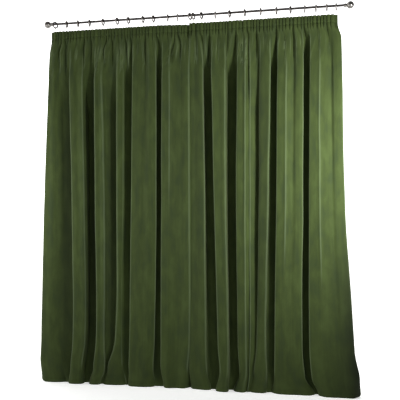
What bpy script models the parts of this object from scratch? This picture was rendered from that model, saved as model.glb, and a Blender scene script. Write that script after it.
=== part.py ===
"""A pair of velvet curtains with pencil-pleat headings, closed across a slim metal pole.

Metres, +Z up. X runs along the pole, -Y faces the room and Z = 0 is the floor that the hems meet.
Each curtain is one cut of cloth. Every level of it has the same corners, so its cross-section can
turn from the small even pleats of the heading into the few deep, uneven folds below them.
"""

import math
from collections import namedtuple

import bmesh
import bpy
import numpy as np

MM = 0.001

# Pole, rings and finials
POLE_Y = 0.0032
POLE_Z = 2.335
POLE_RADIUS = 0.0075
POLE_SIDES = 16
FIT_GAP = 0.0003
BALL_CENTRE_X = 0.9765
BALL_RADIUS = 0.0225
COLLAR_RADIUS = 0.0110
COLLAR_LENGTH = 0.0150
SOCKET_DEPTH = 0.0100
COLLAR_BEVEL = 0.0035
BALL_ARC = 156
BALL_STEPS = 9
RING_INNER = 0.0135
RING_WIRE = 0.0038
EYE_RADIUS = 0.0045
EYE_WIRE = 0.0014
EYE_SUNK = 0.0025
EYE_SEGMENTS = 8
EYE_SIDES = 4
HOOK_WIRE = 0.0014
HOOK_CROOK = 0.0036
HOOK_LEG = 0.0220
HOOK_BEND = 0.0020
HOOK_DROP = 0.0400
HOOK_TURNS = (-25, 35, 90, 145, 180)
RING_SEGMENTS = 14
RING_SIDES = 5
SHARP_ANGLE = 40

# Cloth
HEADING_TOP = 2.277
TAPE_DEPTH = 0.058
FOLDS_FORMED = 1.93
VALLEY_SCALES = (0.5, 1.2)
HALVINGS = 12
HEADING_Y = -0.017
CUT_WIDTH = 1.68
CLOTH = 0.0025
TAPE = 0.0010
TAPE_TOP_MARGIN = 0.004
TAPE_FOOT_MARGIN = 0.003
PLEATS = 42
SIDE_HEM_COLUMNS = 2
SIDE_HEM_PLEAT = 0.3
PLEAT_FADE = 1.1
FOLD_SOFTNESS = 0.007
FOLD_CROWN = 0.03
LOW_SWEEP = 0.3
UPPER_SPREAD = 1.3
SHELF = (0.12, 0.94)
SHELF_DEPTH = 0.2
PATH_STEP = 0.002
LEAD_FORWARD = 0.015
LEAD_WIDTH = 0.060

# Levels at which the fold tables give the folds' edges, top to bottom
LEVELS = (1.95, 1.16, 0.27, 0.10, 0.0)
# Levels of the cloth's rows below the heading
BODY_ROWS = (2.175, 2.120, 2.050, 1.940, 1.550, 1.100, 0.400, 0.210, 0.100, 0.0)

# One row for each forward fold, left to right, in millimetres. upper, middle, low, foot and hem give
# its left and right front edges at the five LEVELS. front is how far it stands from the pole's plane
# and back the floor of the valley on its right, both in the upper part and at the hem. lobe is that
# valley's hidden width, lean how far its floor sits to one side, and boxed how much of it is a square
# box pleat, the rest being a slope that runs back under the next fold. dent is the place across the
# fold of a shallow trough, with its depth at the top and at the hem.
Fold = namedtuple("Fold", "name upper middle low foot hem front back lobe lean boxed dent")

LEFT_FOLDS = (
    Fold("edge", (-957, -890), (-980, -868), (-989, -868), (-994, -838), (-996, -814),
         (-36, -36), (4, -6), 50, 6, 0.50, (0.30, 4, 2)),
    Fold("second", (-802, -713), (-778, -691), (-764, -681), (-779, -700), (-799, -688),
         (-56, -52), (38, 14), 78, 5, 0.90, (0.60, 8, 3)),
    Fold("third", (-635, -584), (-624, -559), (-613, -554), (-630, -548), (-666, -581),
         (-46, -46), (6, -6), 52, -6, 0.45, (0.55, 6, 3)),
    Fold("fourth", (-487, -443), (-482, -440), (-487, -446), (-537, -440), (-571, -416),
         (-38, -40), (28, 4), 64, 4, 0.40, (0.50, 4, 3)),
    Fold("wide", (-381, -223), (-385, -221), (-392, -229), (-397, -236), (-409, -222),
         (-44, -44), (40, 12), 86, -5, 0.70, (0.52, 18, 2)),
    Fold("last", (-187, -10), (-187, -8), (-190, -8), (-192, -20), (-181, -16),
         (-28, -30), (0, 0), 0, 0, 1.00, (0.66, 14, 3)),
)
RIGHT_FOLDS = (
    Fold("leading", (-14, 78), (-14, 92), (-12, 97), (-13, 104), (-8, 133),
         (-42, -42), (30, 2), 68, -4, 0.85, (0.42, 6, 3)),
    Fold("second", (131, 221), (150, 223), (171, 238), (184, 238), (151, 243),
         (-62, -58), (34, 8), 74, 5, 0.90, (0.55, 8, 3)),
    Fold("third", (291, 362), (283, 360), (292, 362), (300, 361), (257, 354),
         (-54, -50), (6, -18), 50, -5, 0.25, (0.50, 4, 2)),
    Fold("fourth", (431, 498), (426, 483), (406, 464), (385, 470), (358, 465),
         (-46, -44), (30, 2), 72, 6, 0.60, (0.50, 4, 3)),
    Fold("wide", (538, 699), (528, 690), (512, 682), (509, 696), (491, 756),
         (-50, -46), (34, 8), 90, -6, 0.80, (0.62, 20, 4)),
    Fold("edge", (733, 926), (721, 934), (719, 980), (731, 1003), (763, 1006),
         (-50, -46), (10, 10), 0, 0, 1.00, (0.66, 22, 4)),
)
# Where each side edge of the cloth ends, beside its outer fold: sideways and back from the front
EDGE_RETURN = {"left": (0.008, 0.030), "right": (0.006, 0.022)}
# The same for the edge at the join: right and back from the front
JOIN_RETURN = {"left": (0.014, 0.022), "right": (0.003, 0.012)}
HEADING_ENDS = {"left": (-0.9415, -0.006), "right": (-0.012, 0.902)}

# Rings along the pole, in millimetres, and how far each is turned about the vertical, in degrees
Ring = namedtuple("Ring", "x turn")
LEFT_RINGS = (
    Ring(-923, -34), Ring(-843, 6), Ring(-764, 9), Ring(-684, 5),
    Ring(-591, -4), Ring(-494, -12), Ring(-419, -9), Ring(-321, -6),
    Ring(-252, -8), Ring(-157, 7), Ring(-92, 14), Ring(-12, -20),
)
RIGHT_RINGS = (
    Ring(10, -20), Ring(62, -14), Ring(150, 5), Ring(241, -11),
    Ring(337, -6), Ring(436, -2), Ring(533, -7), Ring(619, -9),
    Ring(706, 3), Ring(773, 4), Ring(838, -5), Ring(893, -3),
)

# name, colour, roughness, metallic
VELVET = ("green_velvet", (0.055, 0.085, 0.028), 0.85, 0.0)
WEBBING = ("heading_webbing", (0.78, 0.78, 0.74), 0.80, 0.0)
CHROME = ("chrome_plate", (0.72, 0.71, 0.69), 0.18, 1.0)
HOOK_NYLON = ("white_nylon", (0.85, 0.85, 0.82), 0.45, 0.0)


def clear_scene():
    for obj in list(bpy.data.objects):
        bpy.data.objects.remove(obj, do_unlink=True)


def part_collection():
    collection = bpy.data.collections.new("curtain_pair_on_pole")
    bpy.context.scene.collection.children.link(collection)
    return collection


def material(finish):
    name, colour, roughness, metallic = finish
    made = bpy.data.materials.get(name)
    if made is None:
        made = bpy.data.materials.new(name)
        made.use_nodes = True
        shader = made.node_tree.nodes["Principled BSDF"]
        shader.inputs["Base Color"].default_value = (*colour, 1.0)
        shader.inputs["Roughness"].default_value = roughness
        shader.inputs["Metallic"].default_value = metallic
    return made


def place(name, mesh, collection, finish):
    """Links a mesh as a named piece with its material."""
    obj = bpy.data.objects.new(name, mesh)
    collection.objects.link(obj)
    if not mesh.materials:
        mesh.materials.append(material(finish))
    return obj


# ---- cloth cross-sections ----


def smooth_step(value):
    value = min(max(value, 0.0), 1.0)
    return value * value * (3 - 2 * value)


def at_level(values, z):
    """A smooth curve through one value for each of LEVELS, read at height z."""
    levels = LEVELS[::-1]
    values = values[::-1]
    z = min(max(z, levels[0]), levels[-1])
    slopes = np.gradient(values, levels)
    slopes[0] = 0.0
    slopes[1:3] *= LOW_SWEEP
    k = min(int(np.searchsorted(levels, z, side="right")) - 1, len(levels) - 2)
    span = levels[k + 1] - levels[k]
    t = (z - levels[k]) / span
    rise = (3 - 2 * t) * t * t
    return (
        values[k] * (1 - rise)
        + values[k + 1] * rise
        + span * (slopes[k] * t * (1 - t) ** 2 - slopes[k + 1] * t * t * (1 - t))
    )


def fold_corners(folds, side, z, depth):
    """Corners of the cross-section at height z; depth scales how far back the valleys reach."""
    height = z / LEVELS[0]
    upper = smooth_step(UPPER_SPREAD * height)
    corners = []
    edges = [
        tuple(at_level([level[end] for level in fold[1:6]], z) * MM for end in (0, 1))
        for fold in folds
    ]
    for number, fold in enumerate(folds):
        left, right = edges[number]
        front, back = [(hem + (top - hem) * upper) * MM for top, hem in (fold.front, fold.back)]
        place_across, dent_top, dent_hem = fold.dent
        dent = (dent_hem + (dent_top - dent_hem) * height**2) * MM
        crown = FOLD_CROWN * (right - left)
        corners.append((left, front + crown))
        corners.append((left + 0.5 * place_across * (right - left), front))
        corners.append((left + place_across * (right - left), front + dent))
        corners.append((left + 0.5 * (1 + place_across) * (right - left), front))
        corners.append((right, front + crown))
        if number + 1 < len(folds):
            opening = edges[number + 1][0] - right
            middle = right + opening / 2 + fold.lean * MM
            sunk = (back - front) * depth
            half = fold.lobe * MM / 2
            shelf, under = [right + share * opening for share in SHELF]
            shallow = SHELF_DEPTH + (1 - SHELF_DEPTH) * fold.boxed
            corners.append((shelf + (middle - half - shelf) * fold.boxed, front + sunk * shallow))
            corners.append((under + (middle + half - under) * fold.boxed, front + sunk))
    edge_across, edge_back = EDGE_RETURN[side]
    join_across, join_back = JOIN_RETURN[side]
    first = corners[0]
    last = corners[-1]
    if side == "left":
        start = (first[0] + edge_across, first[1] + edge_back)
        end = (last[0] + join_across, last[1] + join_back)
    else:
        start = (first[0] + join_across, first[1] + join_back)
        end = (last[0] - edge_across, last[1] + edge_back)
    return np.array([start, *corners, end])


def column_shares(folds, side):
    """Each column's place along the corners: whole numbers are corners, with a column on every one."""
    corners = fold_corners(folds, side, LEVELS[1], 1.0)
    lengths = np.linalg.norm(np.diff(corners, axis=0), axis=1)
    columns = 2 * PLEATS
    counts = np.maximum(1, np.floor(lengths / lengths.sum() * columns)).astype(int)
    while counts.sum() < columns:
        counts[np.argmax(lengths / counts)] += 1
    while counts.sum() > columns:
        spare = np.where(counts > 1, lengths / counts, np.inf)
        counts[np.argmin(spare)] -= 1
    shares = [np.arange(count) / count + number for number, count in enumerate(counts)]
    return np.append(np.concatenate(shares), len(counts))


def soft_path(corners, shares):
    """The cross-section with its corners rounded, read at each column's share."""
    lengths = np.linalg.norm(np.diff(corners, axis=0), axis=1)
    reach = np.append(0.0, np.cumsum(lengths))
    steps = np.linspace(0, reach[-1], int(reach[-1] / PATH_STEP) + 1)
    line = np.column_stack([np.interp(steps, reach, corners[:, axis]) for axis in (0, 1)])
    radius = int(3 * FOLD_SOFTNESS / PATH_STEP)
    weights = np.exp(-0.5 * (np.arange(-radius, radius + 1) * PATH_STEP / FOLD_SOFTNESS) ** 2)
    weights /= weights.sum()
    before = 2 * line[0] - line[radius:0:-1]
    after = 2 * line[-1] - line[-2 : -radius - 2 : -1]
    padded = np.vstack([before, line, after])
    soft = np.column_stack([np.convolve(padded[:, axis], weights, "valid") for axis in (0, 1)])
    places = np.interp(shares, np.arange(len(reach)), reach)
    return np.column_stack([np.interp(places, steps, soft[:, axis]) for axis in (0, 1)])


def heading_line(side, columns):
    """The heading's middle line: straight along the pole, but the right curtain leads forward."""
    start, end = HEADING_ENDS[side]
    x = np.linspace(start, end, columns + 1)
    y = np.full(columns + 1, HEADING_Y)
    if side == "right":
        y -= [heading_lead(side, value) for value in x]
    return np.column_stack([x, y])


def heading_lead(side, x):
    """How far forward of the heading's line the cloth stands at x, near the right curtain's edge."""
    if side == "left":
        return 0.0
    return LEAD_FORWARD * (1 - smooth_step((x - HEADING_ENDS[side][0]) / LEAD_WIDTH))


def pleat_offsets(side, columns):
    """Front-to-back steps of the pencil pleats, from the cloth that each one takes up."""
    start, end = HEADING_ENDS[side]
    pitch = (end - start) / columns
    depth = math.sqrt((CUT_WIDTH / columns) ** 2 - pitch**2)
    offsets = np.where(np.arange(columns + 1) % 2 == 0, 0.5, -0.5) * depth
    offsets[: SIDE_HEM_COLUMNS + 1] *= SIDE_HEM_PLEAT
    offsets[-SIDE_HEM_COLUMNS - 1 :] *= SIDE_HEM_PLEAT
    return offsets


def cloth_row(folds, side, shares, z):
    """Points of one level of the cloth, with the valleys as deep as its cut width needs."""
    columns = len(shares) - 1
    tape_foot = HEADING_TOP - TAPE_DEPTH
    gathered = smooth_step((z - FOLDS_FORMED) / (tape_foot - FOLDS_FORMED))
    pleated = gathered**PLEAT_FADE
    heading = heading_line(side, columns)
    pleats = pleat_offsets(side, columns) * pleated
    shallow, deep = VALLEY_SCALES
    for _ in range(HALVINGS):
        depth = (shallow + deep) / 2
        folded = soft_path(fold_corners(folds, side, z, depth), shares)
        line = heading * gathered + folded * (1 - gathered)
        line[:, 1] += pleats
        length = np.linalg.norm(np.diff(line, axis=0), axis=1).sum()
        shallow, deep = (depth, deep) if length < CUT_WIDTH else (shallow, depth)
    return [(x, y + POLE_Y, z) for x, y in line]


def sheet_mesh(name, rows):
    """A quad sheet through equal rows of points, its front towards -Y."""
    bm = bmesh.new()
    grid = [[bm.verts.new(point) for point in row] for row in rows]
    for upper, lower in zip(grid, grid[1:]):
        for k in range(len(upper) - 1):
            bm.faces.new((upper[k], lower[k], lower[k + 1], upper[k + 1]))
    mesh = bpy.data.meshes.new(name)
    bm.to_mesh(mesh)
    bm.free()
    mesh.shade_smooth()
    return mesh


def thicken(obj, thickness):
    solid = obj.modifiers.new("thickness", "SOLIDIFY")
    solid.thickness = thickness
    solid.offset = 0.0
    solid.use_even_offset = True
    solid.use_quality_normals = True


def curtain(side, folds, collection):
    shares = column_shares(folds, side)
    levels = (HEADING_TOP, HEADING_TOP - TAPE_DEPTH, *BODY_ROWS)
    rows = [cloth_row(folds, side, shares, z) for z in levels]
    name = f"curtain_{side}"
    thicken(place(name, sheet_mesh(name, rows), collection, VELVET), CLOTH)


def heading_tape(side, collection):
    """The gathered tape sewn behind the heading; it follows every pleat and stops at the side hems."""
    columns = 2 * PLEATS
    line = heading_line(side, columns)
    line[:, 1] += pleat_offsets(side, columns)
    step = CUT_WIDTH / columns
    pitch = line[1, 0] - line[0, 0]
    behind = (CLOTH / 2 + FIT_GAP + TAPE / 2) * step / pitch
    kept = line[SIDE_HEM_COLUMNS:-SIDE_HEM_COLUMNS]
    levels = (HEADING_TOP - TAPE_TOP_MARGIN, HEADING_TOP - TAPE_DEPTH + TAPE_FOOT_MARGIN)
    rows = [[(x, y + behind + POLE_Y, z) for x, y in kept] for z in levels]
    name = f"heading_tape_{side}"
    thicken(place(name, sheet_mesh(name, rows), collection, WEBBING), TAPE)


# ---- pole, finials, rings and hooks ----


def pole(collection):
    half = BALL_CENTRE_X - BALL_RADIUS - COLLAR_LENGTH + SOCKET_DEPTH - FIT_GAP
    bpy.ops.mesh.primitive_cylinder_add(
        vertices=POLE_SIDES,
        radius=POLE_RADIUS,
        depth=2 * half,
        location=(0, POLE_Y, POLE_Z),
        rotation=(0, math.pi / 2, 0),
    )
    adopt(bpy.context.object, "pole", collection)


def adopt(obj, name, collection):
    """Moves a new primitive into the collection as a named chrome piece."""
    for owner in list(obj.users_collection):
        owner.objects.unlink(obj)
    collection.objects.link(obj)
    obj.name = name
    obj.data.name = name
    obj.data.materials.append(material(CHROME))
    obj.data.shade_smooth()
    obj.data.set_sharp_from_angle(angle=math.radians(SHARP_ANGLE))


def finial_profile():
    """Half-section of the ball, neck and socketed collar, as radius and distance from the ball."""
    mouth = BALL_RADIUS + COLLAR_LENGTH
    bore = POLE_RADIUS + FIT_GAP
    ball = [
        (BALL_RADIUS * math.sin(angle), BALL_RADIUS * math.cos(angle))
        for angle in np.radians(np.linspace(0, BALL_ARC, BALL_STEPS))
    ]
    shoulder = (COLLAR_RADIUS, -BALL_RADIUS - COLLAR_BEVEL)
    rim = (COLLAR_RADIUS, -mouth)
    socket = [(bore, -mouth), (bore, -mouth + SOCKET_DEPTH), (0.0, -mouth + SOCKET_DEPTH)]
    return [*ball, shoulder, rim, *socket]


def finial(side, collection):
    sign = -1 if side == "left" else 1
    bm = bmesh.new()
    points = [bm.verts.new((radius, 0, along)) for radius, along in finial_profile()]
    for a, b in zip(points, points[1:]):
        bm.edges.new((a, b))
    mesh = bpy.data.meshes.new(f"finial_{side}")
    bm.to_mesh(mesh)
    bm.free()
    obj = place(f"finial_{side}", mesh, collection, CHROME)
    screw = obj.modifiers.new("turned", "SCREW")
    screw.steps = POLE_SIDES
    screw.render_steps = POLE_SIDES
    screw.use_merge_vertices = True
    screw.merge_threshold = 0.0001
    screw.use_smooth_shade = True
    obj.location = (sign * BALL_CENTRE_X, POLE_Y, POLE_Z)
    obj.rotation_euler = (0, sign * math.pi / 2, 0)


def ring_drop():
    """Height of a ring's centre below the pole's, where its flats hang on the pole."""
    return RING_INNER * math.cos(math.pi / RING_SEGMENTS) - POLE_RADIUS - FIT_GAP


def eye_drop():
    """Height of the eye's centre below the ring's: its top is sunk in the ring's wire."""
    return RING_INNER + RING_WIRE + EYE_SUNK + EYE_RADIUS


def ring_mesh():
    """A ring across the pole with a small eye, turned a quarter, joined under it."""
    bpy.ops.mesh.primitive_torus_add(
        major_segments=RING_SEGMENTS,
        minor_segments=RING_SIDES,
        major_radius=RING_INNER + RING_WIRE,
        minor_radius=RING_WIRE,
        rotation=(0, math.pi / 2, 0),
    )
    ring = bpy.context.object
    bpy.ops.mesh.primitive_torus_add(
        major_segments=EYE_SEGMENTS,
        minor_segments=EYE_SIDES,
        major_radius=EYE_RADIUS,
        minor_radius=EYE_WIRE,
        location=(0, 0, -eye_drop()),
        rotation=(math.pi / 2, 0, 0),
    )
    eye = bpy.context.object
    union = ring.modifiers.new("eye", "BOOLEAN")
    union.operation = "UNION"
    union.object = eye
    graph = bpy.context.evaluated_depsgraph_get()
    mesh = bpy.data.meshes.new_from_object(ring.evaluated_get(graph))
    mesh.transform(ring.matrix_world)
    mesh.name = "ring"
    mesh.materials.clear()
    for obj in (ring, eye):
        bpy.data.objects.remove(obj, do_unlink=True)
    mesh.shade_smooth()
    return mesh


def hook_route(forward):
    """A hook from its tip in the eye, down behind the tape and up into the tape's pocket."""
    crook_z = -eye_drop() - EYE_RADIUS
    turns = np.radians(HOOK_TURNS)
    crook = [
        (-HOOK_CROOK * math.cos(turn), crook_z + HOOK_CROOK * math.sin(turn)) for turn in turns
    ]
    shank_y = HOOK_CROOK
    leg_y = tape_back() - forward + FIT_GAP + HOOK_WIRE
    foot_z = HEADING_TOP - POLE_Z + ring_drop() - HOOK_DROP
    middle = (shank_y + leg_y) / 2
    foot = [(shank_y, foot_z + HOOK_BEND), (middle, foot_z), (leg_y, foot_z + HOOK_BEND)]
    return [*crook, *foot, (leg_y, foot_z + HOOK_LEG)]


def tape_back():
    """The rearmost face of the pleated tape, measured from the pole's plane."""
    columns = 2 * PLEATS
    widest = max(end - start for start, end in HEADING_ENDS.values()) / columns
    narrowest = min(end - start for start, end in HEADING_ENDS.values()) / columns
    step = CUT_WIDTH / columns
    crest = math.sqrt(step**2 - narrowest**2) / 2
    return HEADING_Y + crest + (CLOTH / 2 + FIT_GAP + TAPE) * step / min(widest, narrowest)


def hook(name, forward, collection):
    data = bpy.data.curves.new(name, "CURVE")
    data.dimensions = "3D"
    data.bevel_depth = HOOK_WIRE
    data.bevel_resolution = 0
    data.use_fill_caps = True
    route = hook_route(forward)
    spline = data.splines.new("POLY")
    spline.points.add(len(route) - 1)
    for point, (y, z) in zip(spline.points, route):
        point.co = (0, y, z, 1)
    data.materials.append(material(HOOK_NYLON))
    obj = bpy.data.objects.new(name, data)
    collection.objects.link(obj)
    return obj


def hang_rings(side, rings, mesh, collection):
    """Each ring hangs on the pole, a little turned, with its hook parented to it."""
    for number, ring in enumerate(rings, start=1):
        x = ring.x * MM
        obj = place(f"ring_{side}_{number:02d}", mesh, collection, CHROME)
        obj.location = (x, POLE_Y, POLE_Z - ring_drop())
        obj.rotation_euler = (0, 0, math.radians(ring.turn))
        held = hook(f"hook_{side}_{number:02d}", heading_lead(side, x), collection)
        held.parent = obj


def build():
    clear_scene()
    collection = part_collection()
    curtain("left", LEFT_FOLDS, collection)
    curtain("right", RIGHT_FOLDS, collection)
    heading_tape("left", collection)
    heading_tape("right", collection)
    pole(collection)
    finial("left", collection)
    finial("right", collection)
    mesh = ring_mesh()
    hang_rings("left", LEFT_RINGS, mesh, collection)
    hang_rings("right", RIGHT_RINGS, mesh, collection)


build()
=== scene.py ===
# Looks for a closed pair of velvet curtains that hang from a chromed pole.
# Metres, +Z up: X runs along the pole, -Y faces the room and the hems meet the floor at Z = 0.
import math
from collections import namedtuple

import bmesh
import bpy
import numpy as np
from mathutils import Matrix, Vector


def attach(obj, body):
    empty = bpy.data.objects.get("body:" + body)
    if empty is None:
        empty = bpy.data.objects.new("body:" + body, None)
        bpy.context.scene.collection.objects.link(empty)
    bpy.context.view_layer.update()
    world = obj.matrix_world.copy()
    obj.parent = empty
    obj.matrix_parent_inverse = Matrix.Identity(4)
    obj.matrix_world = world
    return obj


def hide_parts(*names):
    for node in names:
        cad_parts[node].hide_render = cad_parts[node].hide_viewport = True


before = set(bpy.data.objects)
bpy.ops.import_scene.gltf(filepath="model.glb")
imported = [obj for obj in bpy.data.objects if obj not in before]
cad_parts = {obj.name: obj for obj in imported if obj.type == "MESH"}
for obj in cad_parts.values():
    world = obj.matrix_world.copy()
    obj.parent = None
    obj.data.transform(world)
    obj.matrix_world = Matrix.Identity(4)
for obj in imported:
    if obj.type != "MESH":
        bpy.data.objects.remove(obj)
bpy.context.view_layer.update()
mm = 0.001
noiseCells = 64  # the noise repeats after so many cells


def smoothStep(value):
    value = np.clip(value, 0.0, 1.0)
    return value * value * (3 - 2 * value)


def softNoise(across, down, seed):
    # Smooth noise from -1 to 1 on a seeded lattice; one cell is one unit
    lattice = np.random.RandomState(seed).uniform(-1, 1, (noiseCells, noiseCells))
    across, down = np.broadcast_arrays(across, down)
    column = np.floor(across).astype(int)
    row = np.floor(down).astype(int)
    tx = smoothStep(across - column)
    ty = smoothStep(down - row)

    def corner(dx, dy):
        return lattice[(column + dx) % noiseCells, (row + dy) % noiseCells]

    near = corner(0, 0) * (1 - tx) + corner(1, 0) * tx
    far = corner(0, 1) * (1 - tx) + corner(1, 1) * tx
    return near * (1 - ty) + far * ty


def newObject(name, data, *materials):
    made = bpy.data.objects.new(name, data)
    bpy.context.scene.collection.objects.link(made)
    for material in materials:
        data.materials.append(material)
    return made


def meshFrom(bm, name):
    mesh = bpy.data.meshes.new(name)
    bm.to_mesh(mesh)
    bm.free()
    mesh.shade_smooth()
    return mesh


def hexColour(code):
    # sRGB hex to the linear values that the shader takes
    parts = [int(code[k:k + 2], 16) / 255 for k in (1, 3, 5)]
    linear = [c / 12.92 if c <= 0.04045 else ((c + 0.055) / 1.055) ** 2.4 for c in parts]
    return (*linear, 1.0)


def addNode(tree, kind, settings=None, links=None):
    # A link's value is another node's socket, or a plain value for this one's
    made = tree.nodes.new(kind)
    for name, value in (settings or {}).items():
        setattr(made, name, value)
    for socket, source in (links or {}).items():
        if isinstance(source, bpy.types.NodeSocket):
            tree.links.new(source, made.inputs[socket])
        else:
            made.inputs[socket].default_value = source
    return made


def newMaterial(name):
    made = bpy.data.materials.new(name)
    made.use_nodes = True
    return made, made.node_tree, made.node_tree.nodes["Principled BSDF"]


def bandScale(spacing):
    # Bands come round every 2 pi / 20 of their own unit
    return 2 * math.pi / (20 * spacing)


def weave(tree, uv, look):
    # High where a warp and a weft thread both stand up
    threads = []
    for direction, spacing in (("X", look["warp"]), ("Y", look["weft"])):
        bands = addNode(tree, "ShaderNodeTexWave", {"bands_direction": direction}, {
            "Vector": uv, "Scale": bandScale(spacing), "Distortion": look["uneven"], "Detail": 1.0})
        threads.append(bands.outputs["Fac"])
    return addNode(tree, "ShaderNodeMath", {"operation": "MULTIPLY"}, {
        0: threads[0], 1: threads[1]}).outputs["Value"]


def setGloss(tree, shader, look, relief=None):
    # The look's gloss and, where it has one, its relief
    shader.inputs["Roughness"].default_value = look["roughness"]
    shader.inputs["Specular IOR Level"].default_value = look["specular"]
    if relief:
        bump = addNode(tree, "ShaderNodeBump", {}, {
            "Height": relief, "Strength": look["bumpStrength"], "Distance": look["bumpDepth"]})
        tree.links.new(bump.outputs["Normal"], shader.inputs["Normal"])


def setSurface(tree, shader, tone, look, relief=None):
    # Colour between the look's two tones, and its gloss
    mix = addNode(tree, "ShaderNodeMix", {"data_type": "RGBA"}, {
        0: tone, 6: hexColour(look["shade"]), 7: hexColour(look["light"])})
    tree.links.new(mix.outputs[2], shader.inputs["Base Color"])
    setGloss(tree, shader, look, relief)


velvetLook = {
    "deep": "#2A351A",  # pile brushed away from the eye
    "mid": "#303B1A",
    "light": "#36421F",  # pile brushed towards the eye
    "toneStops": (0.62, 0.80, 0.98),  # where the pattern turns deep, mid and light
    "patchSize": (0.060, 0.150),  # brushed patches, taller than wide
    "streakSize": (0.014, 0.30),
    "streakShare": 0.35,
    "pileSize": 0.0035,  # real pile rows are 0.8 mm apart, drawn coarser to show
    "pileShare": 0.25,
    "paintedSheenColour": "#78876A",  # painted highlight along hard bends, standing in for the sheen on the fold edges
    "paintedSheenStrength": 0.20,
    "paintedSheenFrom": 24.0,  # bend per metre where the painted highlight starts
    "paintedSheenOver": 90.0,  # and how much more bend gives it in full
    "paintedSheenFade": 0.10,  # drop below the tape over which this sets in
    "brushedAway": "#0E130A",  # painted shade, a dark colour put into valleys and a lower corner
    "sheenTint": "#B9C49C",
    "sheen": 0.50,
    "sheenRoughness": 0.26,
    "roughness": 0.84,
    "specular": 0.15,
    "bumpStrength": 0.35,
    "bumpDepth": 0.002,
}


def velvetFace():
    # Cut-pile velvet: matt and deep face on, with a pale rim where the pile is seen edge on
    look = velvetLook
    made, tree, shader = newMaterial("cutPileVelvet")
    uv = addNode(tree, "ShaderNodeTexCoord").outputs["UV"]
    wide, tall = look["patchSize"]
    patched = addNode(tree, "ShaderNodeMapping", {}, {
        "Vector": uv, "Scale": (1 / wide, 1 / tall, 1)})
    patch = addNode(tree, "ShaderNodeTexNoise", {}, {
        "Vector": patched.outputs["Vector"], "Scale": 1.0, "Detail": 4.0, "Roughness": 0.55,
        "Distortion": 0.3})
    wide, tall = look["streakSize"]
    streaked = addNode(tree, "ShaderNodeMapping", {}, {
        "Vector": uv, "Scale": (1 / wide, 1 / tall, 1)})
    streak = addNode(tree, "ShaderNodeTexNoise", {}, {
        "Vector": streaked.outputs["Vector"], "Scale": 1.0, "Detail": 3.0, "Roughness": 0.5})
    pile = addNode(tree, "ShaderNodeTexNoise", {}, {
        "Vector": uv, "Scale": 1 / look["pileSize"], "Detail": 2.0, "Roughness": 0.6})
    nap = addNode(tree, "ShaderNodeMath", {"operation": "MULTIPLY_ADD"}, {
        0: streak.outputs["Fac"], 1: look["streakShare"], 2: patch.outputs["Fac"]})
    grain = addNode(tree, "ShaderNodeMath", {"operation": "MULTIPLY_ADD"}, {
        0: pile.outputs["Fac"], 1: look["pileShare"], 2: nap.outputs["Value"]})
    tones = addNode(tree, "ShaderNodeValToRGB", {}, {"Fac": grain.outputs["Value"]})
    first, middle, last = look["toneStops"]
    tones.color_ramp.elements[0].position = first
    tones.color_ramp.elements[0].color = hexColour(look["deep"])
    tones.color_ramp.elements[1].position = last
    tones.color_ramp.elements[1].color = hexColour(look["light"])
    tones.color_ramp.elements.new(middle).color = hexColour(look["mid"])
    # Painted highlight: a paler colour mixed in along hard bends, where the sheen catches the fold
    # edges
    paintedSheenMap = addNode(tree, "ShaderNodeAttribute", {"attribute_name": "paintedEdgeSheen"})
    opened = addNode(tree, "ShaderNodeMath", {"operation": "MULTIPLY"}, {
        0: paintedSheenMap.outputs["Fac"], 1: look["paintedSheenStrength"]})
    withPaintedSheen = addNode(tree, "ShaderNodeMix", {"data_type": "RGBA"}, {
        0: opened.outputs["Value"], 6: tones.outputs["Color"], 7: hexColour(look["paintedSheenColour"])})
    # Painted shade: a dark colour mixed in where valleys and a lower corner fall into shade
    paintedShadeMap = addNode(tree, "ShaderNodeAttribute", {"attribute_name": "brushed"})
    shadePainted = addNode(tree, "ShaderNodeMix", {"data_type": "RGBA"}, {
        0: paintedShadeMap.outputs["Fac"], 6: withPaintedSheen.outputs[2], 7: hexColour(look["brushedAway"])})
    tree.links.new(shadePainted.outputs[2], shader.inputs["Base Color"])
    setGloss(tree, shader, look, grain.outputs["Value"])
    shader.inputs["Sheen Weight"].default_value = look["sheen"]
    shader.inputs["Sheen Roughness"].default_value = look["sheenRoughness"]
    shader.inputs["Sheen Tint"].default_value = hexColour(look["sheenTint"])
    return made


groundLook = {
    "shade": "#46542F",
    "light": "#64724A",
    "warp": 0.0057,  # real threads are 0.4 mm apart, drawn coarser to show
    "weft": 0.0057,
    "uneven": 0.6,
    "clouds": 0.11,
    "weaveShare": 0.3,
    "roughness": 0.9,
    "specular": 0.2,
    "bumpStrength": 0.3,
    "bumpDepth": 0.0006,
}


def velvetGround():
    # The woven ground of the same cloth, seen from behind: flat, dull and a little paler
    look = groundLook
    made, tree, shader = newMaterial("velvetWovenGround")
    uv = addNode(tree, "ShaderNodeTexCoord").outputs["UV"]
    threads = weave(tree, uv, look)
    cloudy = addNode(tree, "ShaderNodeTexNoise", {}, {
        "Vector": uv, "Scale": 1 / look["clouds"], "Detail": 3.0})
    blend = addNode(tree, "ShaderNodeMath", {"operation": "MULTIPLY_ADD"}, {
        0: threads, 1: look["weaveShare"], 2: cloudy.outputs["Fac"]})
    setSurface(tree, shader, blend.outputs["Value"], look, threads)
    return made


# Black nickel on the tube, satin nickel on the rings and chrome on the balls: the colour between
# the wiped marks and in them, the tint at a slant, and the roughness range
plateLooks = {
    "blackNickelPlate": ("#423F3D", "#504C4A", "#5A5654", (0.16, 0.32)),
    "satinNickelPlate": ("#75716E", "#827E7B", "#45413E", (0.30, 0.42)),
    "polishedChromePlate": ("#76736F", "#86837F", "#8A8784", (0.16, 0.32)),
}
wipedMarks = (0.083, 0.00625, 0.00625)  # long marks, where a cloth has wiped along the pole


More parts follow.
